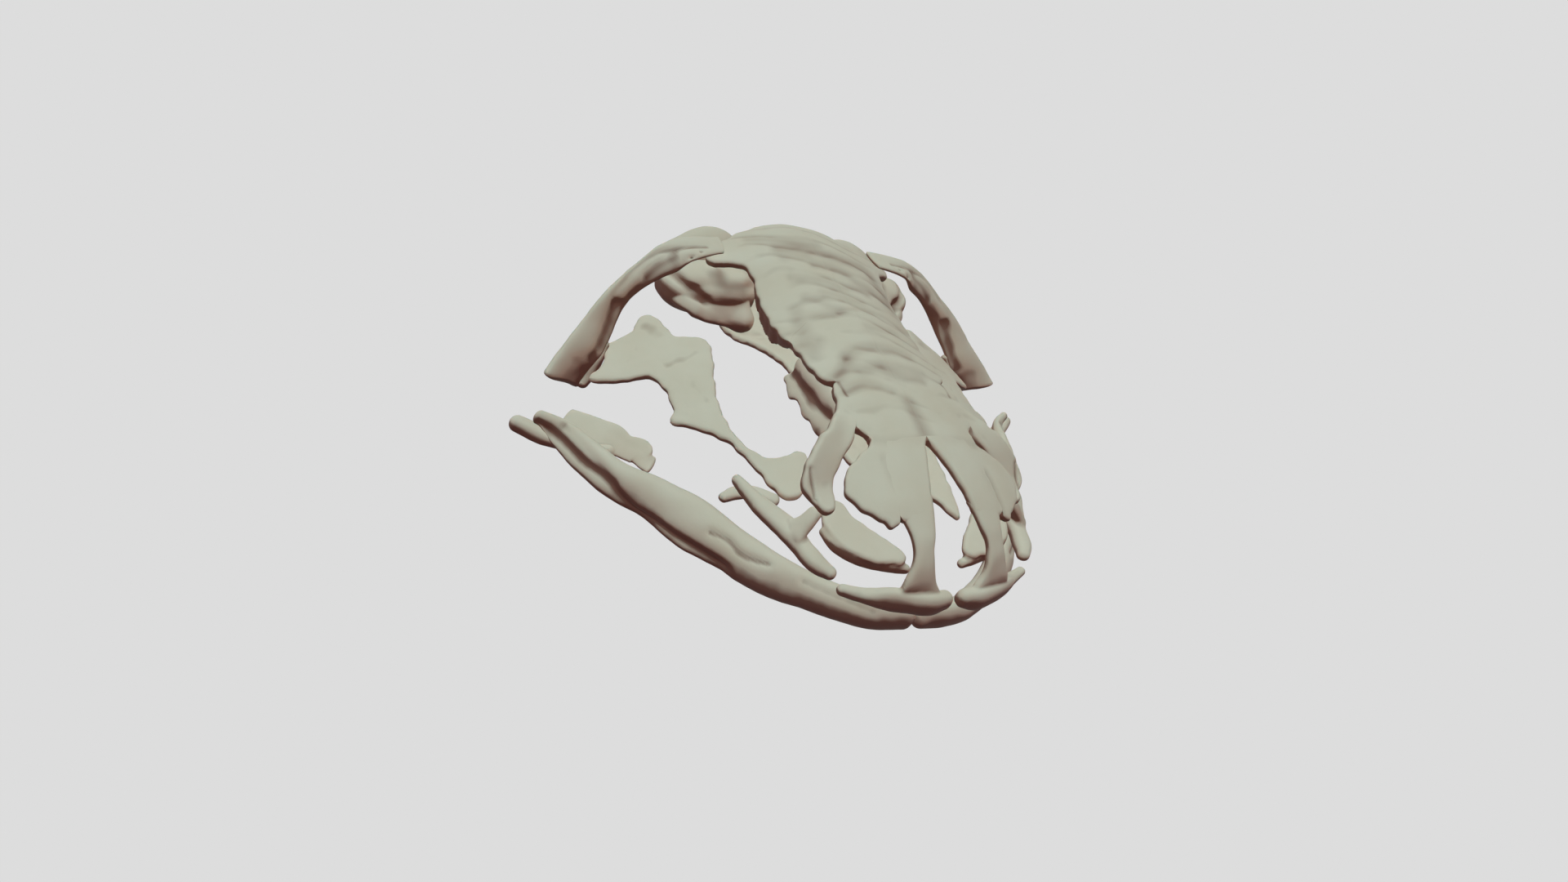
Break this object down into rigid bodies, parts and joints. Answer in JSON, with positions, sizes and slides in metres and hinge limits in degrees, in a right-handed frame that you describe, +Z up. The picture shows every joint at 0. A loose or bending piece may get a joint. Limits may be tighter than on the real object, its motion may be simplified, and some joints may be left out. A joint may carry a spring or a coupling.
{
  "type": "axolotl skull",
  "caption": "Life-size axolotl skull as separate ossified bones: low broad roof, open palate, wide curved lower jaw, resting level on the jaw.",
  "frame": {"origin": "on the floor, under the middle of the skull's length and width", "axes": "+Z up, snout towards -Y, the skull's own left towards +X"},
  "size_m": [0.0332, 0.0274, 0.0094],
  "materials": {
    "bone": "dry bone, dull, pale greenish beige with brown in the hollows"
  },
  "bodies": {
    "root": {"premaxilla_left": "bone", "premaxilla_right": "bone", "nasal_left": "bone", "nasal_right": "bone", "prefrontal_left": "bone", "prefrontal_right": "bone", "frontal_left": "bone", "frontal_right": "bone", "parietal_left": "bone", "parietal_right": "bone", "squamosal_left": "bone", "squamosal_right": "bone", "quadrate_left": "bone", "quadrate_right": "bone", "prootic_left": "bone", "prootic_right": "bone", "exoccipital_left": "bone", "exoccipital_right": "bone", "orbitosphenoid_left": "bone", "orbitosphenoid_right": "bone", "vomer_left": "bone", "vomer_right": "bone", "palatopterygoid_left": "bone", "palatopterygoid_right": "bone", "maxilla_left": "bone", "maxilla_right": "bone", "dentary_left": "bone", "dentary_right": "bone", "prearticular_left": "bone", "prearticular_right": "bone", "coronoid_left": "bone", "coronoid_right": "bone", "parasphenoid": "bone"}
  },
  "joints": []
}
